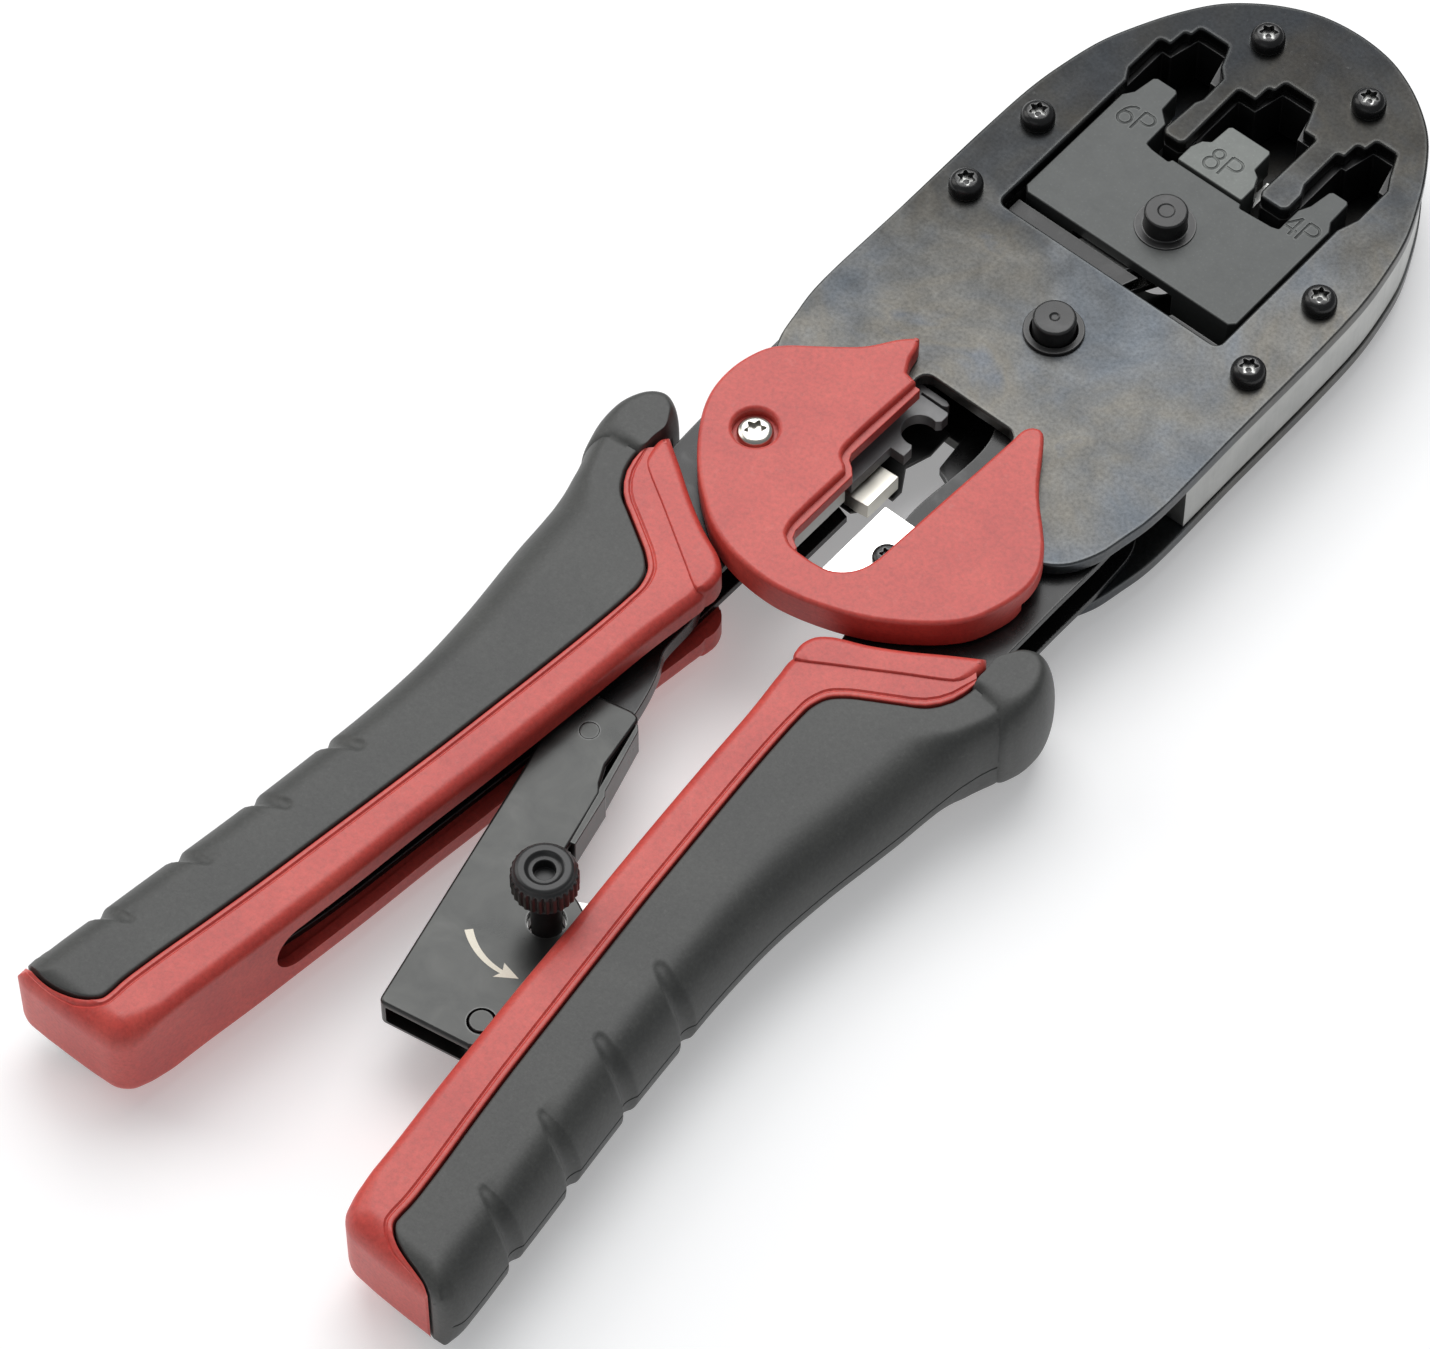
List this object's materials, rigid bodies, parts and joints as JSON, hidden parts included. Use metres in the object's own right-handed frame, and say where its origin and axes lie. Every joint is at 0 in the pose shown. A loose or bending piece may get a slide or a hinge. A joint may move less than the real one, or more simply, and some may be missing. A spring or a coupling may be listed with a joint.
{
  "type": "modular plug crimping tool",
  "caption": "Hand crimping tool for modular network plugs, with a sliding die head, finger guard, wire stripper and cutter, two soft grips and a ratchet arm with a release knob.",
  "frame": {"origin": "middle of the underside of the tool's bounding box, lying flat with its front face up; the main pivot axis is at x = 0, y = 0.0443", "axes": "+Y along the tool towards the head tip, +Z out of the front face, +X towards the moving handle"},
  "size_m": [0.0692, 0.2136, 0.0232],
  "materials": {
    "gunmetal_plate": "blued oxide with a faint heat tint",
    "black_oxide": "satin black oxide",
    "spacer_steel": "brushed",
    "slider_grey": "matte phosphate grey",
    "insert_grey": "matte light grey",
    "bright_steel": "polished",
    "red_plastic": "satin moulded",
    "black_rubber": "matte soft touch",
    "stripper_grey": "satin"
  },
  "bodies": {
    "frame": {"head_plate_front": "gunmetal_plate", "head_plate_back": "gunmetal_plate", "head_spacer": "spacer_steel", "die_nest": "black_oxide", "slide_stop_strip": "black_oxide", "head_screw_1": "black_oxide", "head_screw_2": "black_oxide", "head_screw_3": "black_oxide", "head_screw_4": "black_oxide", "head_screw_5": "black_oxide", "head_screw_6": "black_oxide", "pivot_pin": "black_oxide", "pivot_washer_front": "black_oxide", "pivot_washer_back": "black_oxide", "fixed_arm_front": "black_oxide", "fixed_arm_back": "black_oxide", "fixed_arm_spacer": "black_oxide", "arm_rivet_1": "spacer_steel", "arm_rivet_2": "spacer_steel", "fixed_arm_rivet_lower": "spacer_steel", "ratchet_pivot_pin": "spacer_steel", "grip_core_fixed": "red_plastic", "grip_rubber_fixed": "black_rubber", "guard_front": "red_plastic", "guard_screw_front": "bright_steel", "stripper_guide": "stripper_grey", "backing_plate": "black_oxide", "stripping_blade": "bright_steel", "anvil_rail": "spacer_steel", "return_spring": "bright_steel"},
    "lever": {"lever_hub": "black_oxide", "lever_plate_front": "black_oxide", "lever_plate_back": "black_oxide", "lever_rivet_upper": "spacer_steel", "lever_rivet_lower": "spacer_steel", "crank_pin": "bright_steel", "ratchet_rack": "spacer_steel", "rack_rivet_1": "spacer_steel", "rack_rivet_2": "spacer_steel", "grip_core_moving": "red_plastic", "grip_rubber_moving": "black_rubber", "shear_blade": "bright_steel", "blade_screw": "bright_steel"},
    "link": {"toggle_link_front": "bright_steel", "toggle_link_back": "bright_steel"},
    "slider": {"slider_block": "slider_grey", "cord_clamp_8p": "insert_grey", "contact_comb_8p": "spacer_steel", "contact_comb_6p": "spacer_steel", "contact_comb_4p": "spacer_steel", "slider_pin": "black_oxide"},
    "ratchet": {"ratchet_channel": "black_oxide", "ratchet_bar": "black_oxide", "ratchet_bar_rivet": "black_oxide", "channel_rivet": "black_oxide", "pawl_spring": "bright_steel"},
    "release": {"release_knob": "black_oxide", "pawl": "spacer_steel"}
  },
  "joints": [
    {"name": "handle_squeeze", "type": "hinge", "parent": "frame", "child": "lever", "pos_m": [0, 0.0443, 0.009], "axis": [0, 0, -1], "range_deg": [0, 10], "stiffness_Nm_per_rad": 0.8},
    {"name": "die_slide", "type": "slide", "parent": "frame", "child": "slider", "axis": [0, 1, 0], "range_m": [0, 0.0019]},
    {"name": "link_swing", "type": "hinge", "parent": "lever", "child": "link", "pos_m": [-0.0066, 0.0553, 0.009], "axis": [0, 0, 1], "range_deg": [0, 19.6]},
    {"name": "ratchet_arm_swing", "type": "hinge", "parent": "frame", "child": "ratchet", "pos_m": [-0.012, -0.0157, 0.009], "axis": [0, 0, -1], "range_deg": [0, 20.8]},
    {"name": "release_turn", "type": "hinge", "parent": "ratchet", "child": "release", "pos_m": [0.0074, -0.0595, 0.009], "axis": [0, 0, 1], "range_deg": [0, 25], "stiffness_Nm_per_rad": 0.02}
  ],
  "couplings": [
    {"joint": "die_slide", "follows": "handle_squeeze", "m_per_rad": 0.010772},
    {"joint": "link_swing", "follows": "handle_squeeze", "ratio": 1.954},
    {"joint": "ratchet_arm_swing", "follows": "handle_squeeze", "ratio": 2.07}
  ]
}
